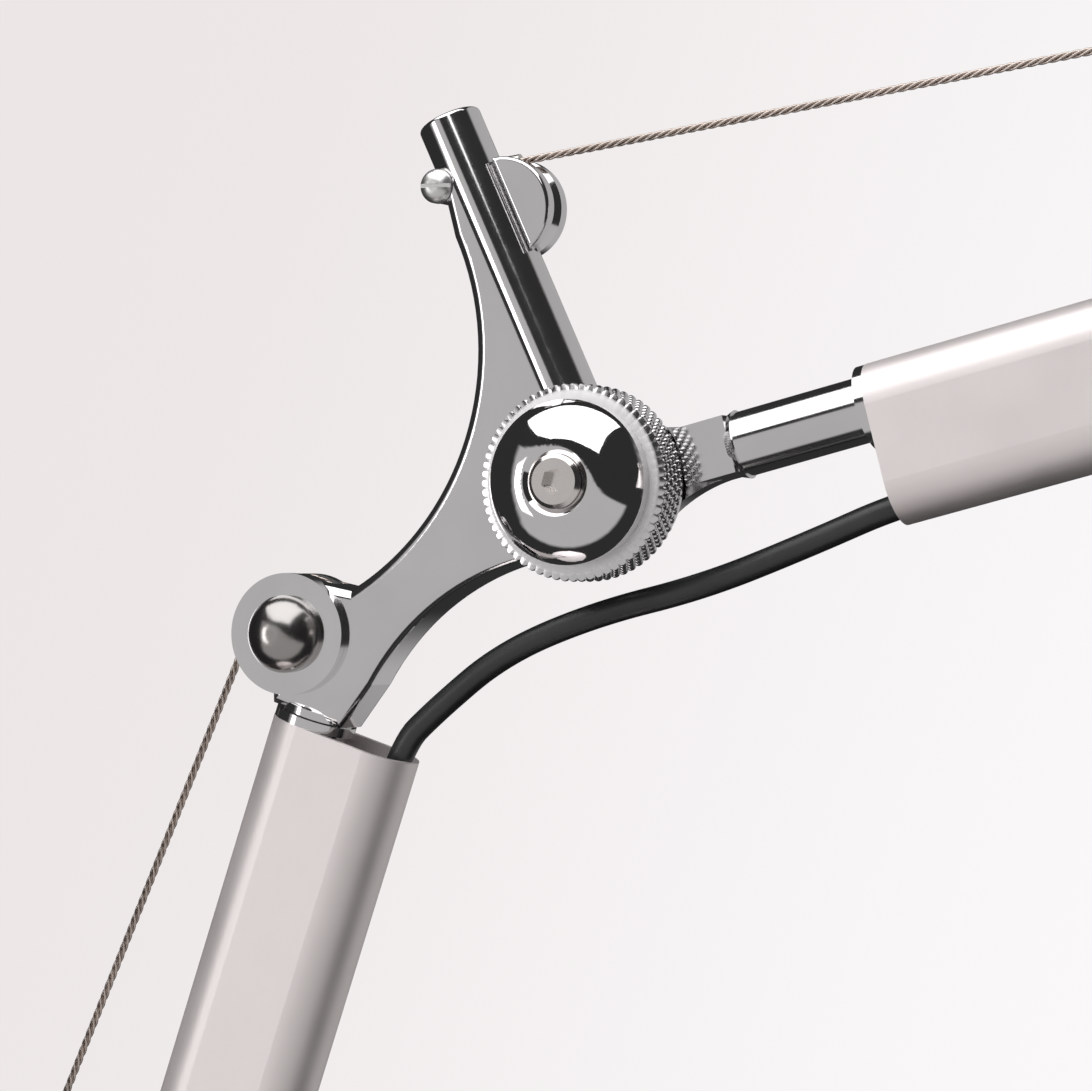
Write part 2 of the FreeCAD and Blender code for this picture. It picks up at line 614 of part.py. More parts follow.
def lower_arm_pieces():
    start, end = LOWER_TUBE
    rope_v = PULLEY_V - PULLEY_GROOVE - ROPE_R
    grommet_v = -2 * TUBE_DROP
    grommet = rod(TUBE_T / 2 - TUBE_WALL - 0.1, at(start - 1.2, grommet_v), at(start + 6, grommet_v))
    lead_start = at(start + 1.0, grommet_v)
    lead_end = at(end - LEAD_INSIDE - 0.03, CORD_V)
    grommet = grommet.cut(rod(CORD_R + 0.15, at(start - 2, grommet_v), at(start + 7, grommet_v)))
    pieces = on_lower({
        "lower_stem": stem(start - PLUG_T - 0.02),
        "lower_foot_plug": plug(start - PLUG_T, 1),
        "lower_tube": tube(start, end),
        "lower_top_plug": plug(end + PLUG_T, -1, rope_v),
        "lower_spring": spring(start + PLUG_DEPTH + 0.1, LOWER_HOOK, rope_v),
        "lead_grommet": grommet,
        "lower_lead": rod(CORD_R, lead_start, lead_end),
        "lower_rope": lower_rope(),
        "base_washer": washer(),
        "base_nut": nut(),
    })
    pieces["elbow_bracket"] = bracket_piece()
    pieces.update(clamp_pieces())
    pulley = beyond(BASE_PIVOT, PULLEY_U, PULLEY_V, LOWER_ANGLE)
    cover = pin(PULLEY_R + 0.05, 0, 0, -HALF - 1.25, -HALF - 0.02).cut(pin(2.02, 0, 0, -HALF - 2, -HALF))
    axle = facing_front([(0, -2 * HALF), (2.0, -2 * HALF), (2.0, 0), (4.85, 0), (4.85, 0.9),
                         ((3.3, 3.0), (0.5, 3.88)), (0, 3.88)], -HALF - 1.27)
    for name, shape in (("pulley_cover", cover), ("pulley_axle", axle)):
        shape.translate(pulley)
        pieces[name] = shape
    return pieces


def elbow_pulley_piece():
    wheel = sheave(PULLEY_R, PULLEY_GROOVE - 0.02, PULLEY_T, 2.0 + FIT)
    wheel.translate(beyond(BASE_PIVOT, PULLEY_U, PULLEY_V, LOWER_ANGLE))
    return wheel


# ---- upper arm ----
def tip_bracket():
    """Small casting at the upper arm's end: foot, pulley fork and front half eye."""
    wheel_u = tip_pulley_u()
    end = UPPER_TUBE[1] + PLUG_T
    top = TIP_PULLEY_V + TIP_PULLEY_R + 0.6
    neck_end = HEAD_ALONG - 6.0
    face = outline((end + 0.02, 4.4), (wheel_u - 5.0, top), (wheel_u + 4.5, top),
                   ((neck_end - 7.0, 4.4), (neck_end, 5.6)), (neck_end, -5.6),
                   ((neck_end - 7.0, -4.4), (wheel_u + 2.0, -4.6)), (end + 0.02, -4.6))
    plate = softened(slab(face, -HALF, HALF), 0.9, (-HALF, HALF))
    eye = softened(pin(FRONT_EYE_R - 1.9, HEAD_ALONG, 0, -HALF, HALF), 0.8, (-HALF,))
    body = plate.fuse(eye)
    body = body.cut(pin(EYE_R + 0.8, HEAD_ALONG, 0, -LAP, HALF + 1))
    body = body.cut(pin(BOLT_R + FIT, HEAD_ALONG, 0, -HALF - 1, HALF))
    body = body.cut(pin(TIP_PULLEY_R + 0.5, wheel_u, TIP_PULLEY_V, -1.45, 1.45))
    mouth_v = TIP_PULLEY_V + 1.5
    mouth = outline((wheel_u - 14, mouth_v), (wheel_u, mouth_v), (wheel_u, top + 3), (wheel_u - 14, top + 5))
    body = body.cut(slab(mouth, -1.0, 1.0))
    rope_v = TIP_PULLEY_V - TIP_GROOVE - ROPE_R
    body = body.cut(rod(ROPE_R + 0.4, at(end - 2, rope_v), at(wheel_u, rope_v)))
    return body.cut(pin(1.52, wheel_u, TIP_PULLEY_V, -HALF - 1, HALF + 1)).removeSplitter()


def on_upper(pieces):
    return {name: place(shape, ELBOW, UPPER_RISE) for name, shape in pieces.items()}


def upper_arm_pieces():
    start, end = UPPER_TUBE
    rope_v = TIP_PULLEY_V - TIP_GROOVE - ROPE_R
    axle = facing_front([(0, 0.1 - 2 * HALF), (1.5, 0.1 - 2 * HALF), (1.5, 0), (2.8, 0), (2.8, 0.5),
                         ((1.9, 1.3), (0.4, 1.6)), (0, 1.6)], -HALF - 0.02)
    axle.translate(at(tip_pulley_u(), TIP_PULLEY_V))
    return on_upper({
        "upper_stem": stem(start - PLUG_T - 0.02),
        "upper_stem_plug": plug(start - PLUG_T, 1),
        "upper_tube": tube(start, end),
        "upper_tip_plug": plug(end + PLUG_T, -1, rope_v),
        "tip_bracket": tip_bracket(),
        "tip_axle": axle,
        "upper_spring": spring(start + PLUG_DEPTH + 0.1, UPPER_HOOK, rope_v),
        "upper_lead": rod(CORD_R, at(start + LEAD_INSIDE + 0.03, CORD_V),
                          at(end - LEAD_INSIDE - 0.03, CORD_V)),
        "upper_rope": upper_rope(),
        "elbow_washer": washer(),
        "elbow_nut": nut(),
    })


def tip_pulley_piece():
    wheel = sheave(TIP_PULLEY_R, TIP_GROOVE - 0.02, 2.6, 1.5 + FIT)
    wheel.translate(at(tip_pulley_u(), TIP_PULLEY_V))
    return place(wheel, ELBOW, UPPER_RISE)


# ---- leads between the arms ----
ELBOW_LEAD = [(-22.4, -27.9), (-13.4, -20.8), (-1.0, -15.9), (13.0, -12.6), (26.2, -7.6)]
HEAD_LEAD = [(-17.0, -15.2), (-4.0, -17.4), (8.5, -16.6)]
LINK_INLET = (21.8, -4.0)    # lead inlet under the head link, and the way the lead goes in
INLET_ANGLE = 51.7


def inlet_point(reach):
    """A point on the inlet's axis, in the head frame, reach outside the link."""
    u, v = rotated(reach, 0, INLET_ANGLE)
    return LINK_INLET[0] - u, LINK_INLET[1] - v


def elbow_lead():
    """Black lead bridging the two tubes under the elbow, in the lamp's plane."""
    start = beyond(BASE_PIVOT, LOWER_TUBE[1] - LEAD_INSIDE, CORD_V, LOWER_ANGLE)
    mouth = beyond(BASE_PIVOT, LOWER_TUBE[1] + 0.8, CORD_V + 0.3, LOWER_ANGLE)
    entry = beyond(ELBOW, UPPER_TUBE[0] + 1.5, CORD_V + 0.3, UPPER_RISE)
    end = beyond(ELBOW, UPPER_TUBE[0] + LEAD_INSIDE, CORD_V, UPPER_RISE)
    free = [ELBOW + Vector(x, 0, z) for x, z in ELBOW_LEAD]
    return route("elbow_lead", [start, mouth] + free + [entry, end], CORD_R)


def head_lead():
    """Short lead from the upper tube's end round into the head link."""
    start = beyond(ELBOW, UPPER_TUBE[1] - LEAD_INSIDE, CORD_V, UPPER_RISE)
    mouth = beyond(ELBOW, UPPER_TUBE[1] - 0.5, CORD_V + 0.1, UPPER_RISE)
    free = [beyond(HEAD, u, v, LINK_RISE) for u, v in HEAD_LEAD]
    inlet = [beyond(HEAD, *inlet_point(reach), LINK_RISE) for reach in (9.0, 0.0)]
    return route("head_lead", [start, mouth] + free + inlet, CORD_R)


# ---- head ----
def on_head(pieces):
    return {name: place(shape, HEAD, LINK_RISE) for name, shape in pieces.items()}


def head_link():
    """Rear half eye and round rod that carries the shade."""
    body = rear_eye(17.0).fuse([rod(HALF, at(16.5, 0), at(NECK_U - NECK_R - 3.6, 0)),
                                rod(3.0, at(NECK_U - NECK_R - 3.7, 0), at(NECK_U - NECK_R + 2.4, 0)),
                                rod(CORD_R + 1.0, at(*inlet_point(3.0)), at(*inlet_point(-2.0)))])
    body = body.cut(rod(CORD_R + 0.1, at(*inlet_point(5.0)), at(*inlet_point(-0.3))))
    return body.cut(pin(BOLT_R + FIT, 0, 0, -HALF, HALF + 1)).removeSplitter()


def on_neck(shape):
    shape.translate(at(NECK_U, 0))
    return shape


def globe_solid(top, top_r, radius):
    """Bulb outline: a throat of radius top_r swelling to a half sphere."""
    throat = ((radius + top_r) / 2 + 1.6, (BULB_V + top) / 2 + 2.0)
    low = (radius * math.sqrt(0.5), BULB_V - radius * math.sqrt(0.5))
    return turned([(0, top), (top_r, top), (throat, (radius, BULB_V)), (low, (0, BULB_V - radius))])


def shade_pieces():
    """Cone shade and all that turns with it about the link's axis."""
    w = SHADE_WALL
    r = NECK_R
    shell = turned([(r, NECK_TOP), (r, NECK_FOOT), ((r + 3.0, NECK_FOOT - 9), (r + 8.5, NECK_FOOT - 17)),
                    (MOUTH_R, MOUTH_V + 2.5), (MOUTH_R + 0.8, MOUTH_V + 1.0), (MOUTH_R + 0.8, MOUTH_V),
                    (MOUTH_R - w, MOUTH_V), (MOUTH_R - w, MOUTH_V + 2.5), (r + 8.5 - w, NECK_FOOT - 17.6),
                    ((r + 3.0 - w, NECK_FOOT - 9.4), (r - w, NECK_FOOT - 0.5)), (r - w, NECK_TOP)])
    bore = rod(3.0 + FIT, at(-NECK_R - 6, 0), at(-NECK_R + 3, 0))
    collar = turned([(r + 0.02, -8), (r + 2.4, -8), (r + 2.9, -7.5), (r + 2.9, 7.5), (r + 2.4, 8),
                     (r + 0.02, 8)])
    boss = rod(6.4, at(-NECK_R - 3.4, 0), at(-NECK_R + 1.0, 0))
    boss = boss.cut(Part.makeCylinder(r + 0.02, 30, Vector(0, 0, -15)))
    cap = turned([(0, NECK_TOP + 0.02), (r, NECK_TOP + 0.02), (r, NECK_TOP + 5.5),
                  ((r - 1.2, NECK_TOP + 8.3), (r - 4.5, NECK_TOP + 9.5)), (0, NECK_TOP + 9.5)])
    well = Part.makeCylinder(BUTTON_R + 0.3, 4.5, Vector(0, 0, NECK_TOP + 5.5))
    spigot = Part.makeCylinder(r - w - 0.05, 2.0, Vector(0, 0, NECK_TOP - 1.98))
    socket_r = SOCKET_R
    cap_r = SOCKET_R - 0.15
    holder = turned([(socket_r, NECK_FOOT - 4), (HOLDER_R, NECK_FOOT - 4), (HOLDER_R, 6.0),
                     (HOLDER_R - 1.4, 11.5), (0, 11.5), (0, 7.0), (socket_r, 7.0)])
    ring = turned([(HOLDER_R + 0.05, NECK_FOOT + 4.0), (r - w - 0.05, NECK_FOOT + 4.0),
                   (r - w - 0.05, NECK_FOOT + 7.5), (HOLDER_R + 0.05, NECK_FOOT + 7.5)])
    base = turned([(0, 6.8), (4.5, 6.8), (cap_r, 2.0), (cap_r, NECK_FOOT - 4), (cap_r + 1.6, NECK_FOOT - 8),
                   (cap_r + 2.2, NECK_FOOT - 16), (0, NECK_FOOT - 16)])
    globe = globe_solid(NECK_FOOT - 16.02, cap_r + 2.0, BULB_R)
    hollow = globe_solid(NECK_FOOT - 15.0, cap_r + 0.8, BULB_R - 1.2)
    pieces = {
        "shade": shell.cut(bore),
        "shade_collar": collar.fuse(boss).cut(bore).removeSplitter(),
        "shade_cap": cap.cut(well).fuse(spigot).removeSplitter(),
        "lamp_holder": holder,
        "holder_ring": ring,
        "bulb_base": base,
        "bulb_globe": globe.cut(hollow),
    }
    return on_head({name: on_neck(shape) for name, shape in pieces.items()})


def switch_button():
    low = NECK_TOP + 5.52 + BUTTON_TRAVEL
    high = NECK_TOP + 12.2
    return turned([(0, low), (BUTTON_R, low), (BUTTON_R, high - 0.8), ((BUTTON_R - 0.25, high - 0.2),
                   (BUTTON_R - 0.9, high)), (0, high - 0.25)])


def small_knob():
    """Head knob: the same ring and dome, one size smaller."""
    return {
        "head_knob": knob_ring(9.4, 5.0, 42).fuse(knob_dome(7.6, 5.0, 9.4)).removeSplitter(),
        "head_bolt": knob_bolt(7.6, 5.0),
    }


# ---- the whole lamp ----
def lamp():
    pieces = {}
    pieces.update(base_pieces())
    pieces.update(turret_pieces())
    pieces.update(lower_arm_pieces())
    pieces.update(upper_arm_pieces())
    for prefix, start in (("base", BASE_PIVOT), ("elbow", ELBOW)):
        for name, shape in (("knob_ring", knob_ring()), ("knob_dome", knob_dome()), ("bolt", knob_bolt())):
            pieces[prefix + "_" + name] = place(shape, start, UPPER_RISE)
    pieces["elbow_pulley"] = elbow_pulley_piece()
    pieces["tip_pulley"] = tip_pulley_piece()
    pieces["elbow_lead"] = elbow_lead()
    pieces["head_lead"] = head_lead()
    pieces.update(on_head({"head_link": head_link(), "head_washer": washer(), "head_nut": nut()}))
    pieces.update(on_head(small_knob()))
    pieces.update(shade_pieces())
    pieces.update(on_head({"switch_button": on_neck(switch_button())}))
    return pieces


os.makedirs("parts", exist_ok=True)
for name, shape in lamp().items():
    if not shape.isValid() or not shape.Solids:
        print("CHECK", name, shape.isValid(), len(shape.Solids))
    shape.exportStep("parts/" + name + ".step")
print("elbow", ELBOW, "head", HEAD)
print("tip pulley", round(tip_pulley_u(), 2), "lever reach", round(lower_rope_reach(), 2))
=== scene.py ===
"""Looks of the spring-balanced desk lamp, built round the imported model. Metres, +Z up."""
import json
import math

import bmesh
import bpy
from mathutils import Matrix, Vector


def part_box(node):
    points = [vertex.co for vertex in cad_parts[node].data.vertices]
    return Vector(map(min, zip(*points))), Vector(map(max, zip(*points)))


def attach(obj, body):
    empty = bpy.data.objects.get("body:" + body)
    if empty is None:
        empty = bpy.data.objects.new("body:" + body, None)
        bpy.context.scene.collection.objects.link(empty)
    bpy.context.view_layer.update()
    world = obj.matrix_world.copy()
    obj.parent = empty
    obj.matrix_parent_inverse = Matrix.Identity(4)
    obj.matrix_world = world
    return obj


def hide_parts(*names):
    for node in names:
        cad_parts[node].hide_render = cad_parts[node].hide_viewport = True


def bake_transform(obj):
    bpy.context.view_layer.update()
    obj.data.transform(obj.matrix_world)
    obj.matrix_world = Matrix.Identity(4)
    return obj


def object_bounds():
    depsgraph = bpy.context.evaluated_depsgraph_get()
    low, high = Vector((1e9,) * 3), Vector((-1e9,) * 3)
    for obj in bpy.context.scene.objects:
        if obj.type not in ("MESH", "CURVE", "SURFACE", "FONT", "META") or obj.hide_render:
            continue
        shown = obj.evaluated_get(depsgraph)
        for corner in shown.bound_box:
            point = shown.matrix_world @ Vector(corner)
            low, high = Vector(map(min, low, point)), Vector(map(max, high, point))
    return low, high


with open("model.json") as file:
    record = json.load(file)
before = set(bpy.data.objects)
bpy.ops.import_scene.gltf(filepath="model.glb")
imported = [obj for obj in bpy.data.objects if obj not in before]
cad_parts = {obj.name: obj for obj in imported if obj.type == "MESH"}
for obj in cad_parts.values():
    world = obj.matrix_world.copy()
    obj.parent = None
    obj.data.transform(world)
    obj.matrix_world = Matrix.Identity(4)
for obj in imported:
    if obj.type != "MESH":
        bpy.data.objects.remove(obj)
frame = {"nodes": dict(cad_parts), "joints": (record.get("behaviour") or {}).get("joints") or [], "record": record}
cad_low, cad_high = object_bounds()

MM = 0.001
NODES = frame["nodes"]
JOINTS = {joint["name"]: joint for joint in frame["joints"]}
BASE_PIVOT = Vector(JOINTS["base_tilt"]["pos_m"])
ELBOW = Vector(JOINTS["elbow"]["pos_m"])
HEAD = Vector(JOINTS["head_tilt"]["pos_m"])
LOWER_ANGLE = 71.5          # degrees above the horizontal, as in the model
UPPER_ANGLE = 14.4
LINK_ANGLE = 8.0
POST_ANGLE = 114.5


def beyond(start, u, v, angle):
    """The point (u, v) millimetres from start, in a frame rising at angle."""
    a = math.radians(angle)
    x = u * math.cos(a) - v * math.sin(a)
    z = u * math.sin(a) + v * math.cos(a)
    return start + Vector((x, 0, z)) * MM


# ---- camera ----
CAMERA_PLACE = (190.0, -479.7, -12.0)     # millimetres from the elbow
CAMERA_AIM = (-7.7, 0.0, -7.5)
FOCAL_LENGTH = 138.5


def make_camera():
    data = bpy.data.cameras.new("camera")
    data.sensor_width = 36.0
    data.lens = FOCAL_LENGTH
    data.clip_start = 0.01
    data.clip_end = 60.0
    camera = bpy.data.objects.new("camera", data)
    bpy.context.scene.collection.objects.link(camera)
    camera.location = ELBOW + Vector(CAMERA_PLACE) * MM
    target = ELBOW + Vector(CAMERA_AIM) * MM
    camera.rotation_mode = "QUATERNION"
    camera.rotation_quaternion = (target - camera.location).to_track_quat("-Z", "Y")
    bpy.context.scene.camera = camera


make_camera()


# ---- node-tree helpers ----
class Tree:
    """A material's nodes, added and wired by short calls."""

    def __init__(self, name):
        self.material = bpy.data.materials.new(name)
        self.material.use_nodes = True
        self.nodes = self.material.node_tree.nodes
        self.links = self.material.node_tree.links
        self.shader = self.nodes["Principled BSDF"]

    def add(self, kind, **values):
        node = self.nodes.new(kind)
        for key, value in values.items():
            setattr(node, key, value)
        return node

    def join(self, source, output, target, entry):
        self.links.new(source.outputs[output], target.inputs[entry])

    def set(self, **values):
        for key, value in values.items():
            self.shader.inputs[key.replace("_", " ")].default_value = value

    def place(self, scale, angle=0.0):
        """Object coordinates in millimetres, turned with an arm and stretched by scale."""
        where = self.add("ShaderNodeTexCoord")
        turn = self.add("ShaderNodeMapping")
        turn.inputs["Rotation"].default_value = (0, math.radians(angle), 0)
        turn.inputs["Scale"].default_value = (1000, 1000, 1000)
        self.join(where, "Object", turn, "Vector")
        stretch = self.add("ShaderNodeMapping")
        stretch.inputs["Scale"].default_value = scale
        self.join(turn, "Vector", stretch, "Vector")
        return stretch

    def distance(self, centre, directions):
        """Metres from centre, measured only along the directions marked with a 1."""
        where = self.add("ShaderNodeTexCoord")
        off = self.add("ShaderNodeVectorMath", operation="SUBTRACT")
        off.inputs[1].default_value = centre
        self.join(where, "Object", off, 0)
        flat = self.add("ShaderNodeVectorMath", operation="MULTIPLY")
        flat.inputs[1].default_value = directions
        self.join(off, "Vector", flat, 0)
        radius = self.add("ShaderNodeVectorMath", operation="LENGTH")
        self.join(flat, "Vector", radius, 0)
        return radius

    def noise(self, where, scale, detail, roughness=0.5):
        node = self.add("ShaderNodeTexNoise")
        node.inputs["Scale"].default_value = scale
        node.inputs["Detail"].default_value = detail
        node.inputs["Roughness"].default_value = roughness
        self.join(where, 0, node, "Vector")
        return node

    def spread(self, source, output, low, high, from_low=0.3, from_high=0.7):
        """Map a pattern, usually the middle of a noise's range, on to low-high."""
        node = self.add("ShaderNodeMapRange")
        node.inputs["From Min"].default_value = from_low
        node.inputs["From Max"].default_value = from_high
        node.inputs["To Min"].default_value = low
        node.inputs["To Max"].default_value = high
        self.join(source, output, node, "Value")
        return node

    def tint(self, pattern, dark, light):
        """Colour the surface from dark to light by a noise pattern."""
        node = self.add("ShaderNodeValToRGB")
        for element, place, colour in zip(node.color_ramp.elements, (0.3, 0.7), (dark, light)):
            element.position = place
            element.color = (*colour, 1.0)
        self.join(pattern, "Fac", node, "Fac")
        self.join(node, "Color", self.shader, "Base Color")

    def rough(self, first, second=None):
        """Set the roughness from one mapped pattern, or from the sum of two."""
        if second is None:
            self.join(first, "Result", self.shader, "Roughness")
            return
        blend = self.add("ShaderNodeMath", operation="ADD")
        self.join(first, "Result", blend, 0)
        self.join(second, "Result", blend, 1)
        self.join(blend, "Value", self.shader, "Roughness")

    def bump(self, pattern, strength, distance, under=None):
        """Raise the surface by a noise pattern, on top of an earlier bump if there is one."""
        node = self.add("ShaderNodeBump")
        node.inputs["Strength"].default_value = strength
        node.inputs["Distance"].default_value = distance
        self.join(pattern, "Fac", node, "Height")
        if under is not None:
            self.join(under, "Normal", node, "Normal")
        self.join(node, "Normal", self.shader, "Normal")
        return node


def shaded(colour, by):
    return tuple(min(1.0, channel * by) for channel in colour)


# ---- materials ----
ALUMINIUM = (0.97, 0.908, 0.903)
CHROME = (0.83, 0.82, 0.825)
GRAIN_DEPTH = 0.00005        # metres


def metal(name, colour, rough, streak, angle, grain, cloud, pits=0.0, sheen=1.0):
    """Metal with clouded roughness, a finish that runs at angle and fine surface grain."""
    tree = Tree(name)
    tree.set(Metallic=sheen)
    large = tree.noise(tree.place((1, 1, 1)), 0.11, 5.0)
    tree.tint(large, shaded(colour, 1 - cloud), shaded(colour, 1 + cloud))
    fine = tree.noise(tree.place(streak, angle), 1.0, 6.0, 0.6)
    half = [value / 2 for value in rough]
    tree.rough(tree.spread(fine, "Fac", *half), tree.spread(large, "Fac", *half))
    relief = tree.bump(fine, grain, GRAIN_DEPTH)
    if pits:
        cast = tree.noise(tree.place((1, 1, 1)), 2.6, 3.0)
        tree.bump(cast, pits, GRAIN_DEPTH, relief)
    return tree.material


def spun_metal(name, colour, rough, centre):
    """Turned aluminium: fine rings about an upright axis through centre."""
    tree = Tree(name)
    tree.set(Metallic=0.6)
    rings = tree.add("ShaderNodeTexNoise", noise_dimensions="1D")
    rings.inputs["Scale"].default_value = 2600.0
    rings.inputs["Detail"].default_value = 5.0
    tree.join(tree.distance(centre, (1, 1, 0)), "Value", rings, "W")
    cloud = tree.noise(tree.place((1, 1, 1)), 0.05, 4.0)
    tree.tint(cloud, shaded(colour, 0.97), shaded(colour, 1.03))
    tree.rough(tree.spread(rings, "Fac", *rough))
    tree.bump(rings, 0.12, 0.00004)
    return tree.material


def knurled_metal(name, pivot):
    """Bright beads on the rim and a satin face inside it, split by distance from the pivot."""
    tree = Tree(name)
    radius = tree.distance(pivot, (1, 0, 1))
    cloud = tree.noise(tree.place((1, 1, 1)), 0.9, 5.0)
    edge = (0.0109, 0.0113)      # the face gives way to the beads between these radii
    tree.join(tree.spread(radius, "Value", 0.7, 1.0, *edge), "Result", tree.shader, "Metallic")
    tree.rough(tree.spread(radius, "Value", 0.50, 0.10, *edge), tree.spread(cloud, "Fac", 0.0, 0.10))
    tree.tint(cloud, CHROME, shaded(CHROME, 1.08))
    tree.bump(cloud, 0.05, GRAIN_DEPTH)
    return tree.material


def moulded(name, colour, rough, grain, scale=3.0, coat=0.0):
    """Plastic or rubber with a fine moulded grain."""
    tree = Tree(name)
    tree.set(Coat_Weight=coat)
    where = tree.place((1, 1, 1))
    large = tree.noise(where, 0.15, 4.0)
    tree.tint(large, shaded(colour, 0.88), shaded(colour, 1.12))
    fine = tree.noise(where, scale, 5.0)
    tree.rough(tree.spread(fine, "Fac", *rough))
    tree.bump(fine, grain, 0.0001)
    return tree.material


def opal_glass():
    """Opal bulb glass: soft white, faintly clouded."""
    tree = Tree("opal_glass")
    cloud = tree.noise(tree.place((1, 1, 1)), 0.12, 5.0)
    tree.tint(cloud, (0.86, 0.85, 0.82), (0.93, 0.925, 0.90))
    tree.rough(tree.spread(cloud, "Fac", 0.10, 0.18))
    tree.set(Subsurface_Weight=0.3, Coat_Weight=0.6, Coat_Roughness=0.06)
    tree.shader.inputs["Subsurface Radius"].default_value = (0.004, 0.004, 0.0035)
    tree.bump(cloud, 0.05, 0.0002)
    return tree.material


def lead_sheath():
    """Black two-core lead: satin sheath with faint lengthwise drawing marks."""
    tree = Tree("black_lead")
    tree.tint(tree.noise(tree.place((1, 1, 1)), 0.12, 4.0), (0.010, 0.011, 0.012), (0.020, 0.021, 0.022))
    marks = tree.noise(tree.place((0.25, 2.5, 2.0), 25.0), 1.0, 5.0)
    tree.rough(tree.spread(marks, "Fac", 0.30, 0.42))
    tree.bump(marks, 0.10, 0.0001)
    tree.set(Specular_IOR_Level=0.75)
    return tree.material


def make_materials():
    """One material for each finish, under the name of the slot it fills."""
    even = (1, 1, 1)
    drawn = (0.05, 1.6, 1.6)
    turned = (0.2, 1, 1)
    neck = beyond(HEAD, 48.0, 0.0, LINK_ANGLE)
    return {
        "lower_satin": metal("lower_satin_aluminium", ALUMINIUM, (0.42, 0.50), drawn, LOWER_ANGLE, 0.05, 0.02,
                             sheen=0.8),
        "satin_aluminium": metal("upper_satin_aluminium", ALUMINIUM, (0.42, 0.50), drawn, UPPER_ANGLE,
                                 0.05, 0.02, sheen=0.8),
        "polished_chrome": metal("polished_chrome", CHROME, (0.07, 0.13), even, 0, 0.015, 0.03, 0.03),
        "mirror_chrome": metal("mirror_chrome", CHROME, (0.03, 0.07), even, 0, 0.008, 0.02),
        "lower_rod": metal("lower_rod_steel", CHROME, (0.10, 0.18), turned, LOWER_ANGLE, 0.03, 0.03),
        "satin_chrome": metal("upper_rod_steel", CHROME, (0.08, 0.15), turned, UPPER_ANGLE, 0.03, 0.03),
        "link_rod": metal("link_rod_steel", CHROME, (0.10, 0.18), turned, LINK_ANGLE, 0.03, 0.03),
        "knurled_chrome": metal("knurled_chrome", CHROME, (0.10, 0.20), (2, 2, 2), 0, 0.03, 0.05),
        "dome_steel": metal("dome_steel", (0.46, 0.44, 0.43), (0.16, 0.24), even, 0, 0.02, 0.04),
        "zinc_screw": metal("zinc_screw", (0.93, 0.92, 0.91), (0.30, 0.42), (2, 2, 2), 0, 0.05, 0.06),
        "bolt_steel": metal("bolt_steel", (0.88, 0.84, 0.82), (0.12, 0.22), even, 0, 0.03, 0.05),
        "ferrule_tin": metal("ferrule_tin", (0.72, 0.70, 0.68), (0.25, 0.35), (1, 3, 3), UPPER_ANGLE,
                             0.08, 0.05),
        "spring_steel": metal("spring_steel", (0.42, 0.42, 0.43), (0.25, 0.36), (2, 2, 2), 0, 0.04, 0.08),
        "steel_rope": metal("steel_rope", (0.66, 0.57, 0.52), (0.14, 0.24), (3, 3, 3), 0, 0.06, 0.14),
        "ballast_iron": metal("ballast_iron", (0.10, 0.10, 0.105), (0.5, 0.7), even, 0, 0.3, 0.1, 0.4),
        "bush_brass": metal("bush_brass", (0.72, 0.55, 0.28), (0.18, 0.30), (1, 1, 4), 0, 0.04, 0.05),
        "bulb_cap": metal("bulb_cap", (0.80, 0.78, 0.76), (0.20, 0.32), (1, 1, 4), 0, 0.06, 0.04),
        "satin_aluminium_base": spun_metal("base_spun_aluminium", ALUMINIUM, (0.30, 0.40), (0, 0, 0)),
        "shade_aluminium": spun_metal("shade_spun_aluminium", ALUMINIUM, (0.32, 0.42), neck),
        "nylon_washer": moulded("nylon_washer", (0.72, 0.70, 0.64), (0.35, 0.45), 0.08),
        "pulley_nylon": moulded("pulley_nylon", (0.035, 0.035, 0.038), (0.35, 0.5), 0.15),
        "holder_plastic": moulded("holder_plastic", (0.030, 0.030, 0.031), (0.40, 0.55), 0.25),
        "base_rubber": moulded("base_rubber", (0.020, 0.020, 0.021), (0.65, 0.85), 0.5, 2.0),
        "switch_plastic": moulded("switch_plastic", (0.030, 0.030, 0.033), (0.16, 0.24), 0.05, 4.0, 0.3),
        "black_grommet": moulded("black_grommet", (0.022, 0.022, 0.023), (0.5, 0.65), 0.2),
        "black_lead": lead_sheath(),
        "opal_glass": opal_glass(),
    }


MATERIALS = make_materials()
SLOTS = {part["node"]: part["material_slot"] for part in frame["record"]["subparts"]}
FINISHES = {                 # nodes whose finish runs their own way
    "lower_tube": "lower_satin",
    "lower_stem": "lower_rod",
    "head_link": "link_rod",
    "base_knob_dome": "mirror_chrome",
    "elbow_knob_dome": "mirror_chrome",
    "head_knob": "mirror_chrome",
    "elbow_bolt": "bolt_steel",
    "base_bolt": "bolt_steel",
}


def dress_nodes():
    for name, node in NODES.items():
        finish = MATERIALS[FINISHES.get(name, SLOTS[name])]
        node.data.materials.clear()
        node.data.materials.append(finish)


dress_nodes()


# ---- mesh helpers ----
def new_mesh(name, vertices, faces, material, angle):
    """A closed piece, smooth except where its faces meet at more than angle."""
    mesh = bpy.data.meshes.new(name)
    mesh.from_pydata(vertices, [], faces)
    mesh.validate()
    work = bmesh.new()
    work.from_mesh(mesh)
    bmesh.ops.remove_doubles(work, verts=work.verts, dist=1e-7)
    bmesh.ops.recalc_face_normals(work, faces=work.faces)
    for face in work.faces:
        face.smooth = True
    work.to_mesh(mesh)
    work.free()
    mesh.set_sharp_from_angle(angle=math.radians(angle))
    mesh.materials.append(material)
    piece = bpy.data.objects.new(name, mesh)
    bpy.context.scene.collection.objects.link(piece)
    return piece


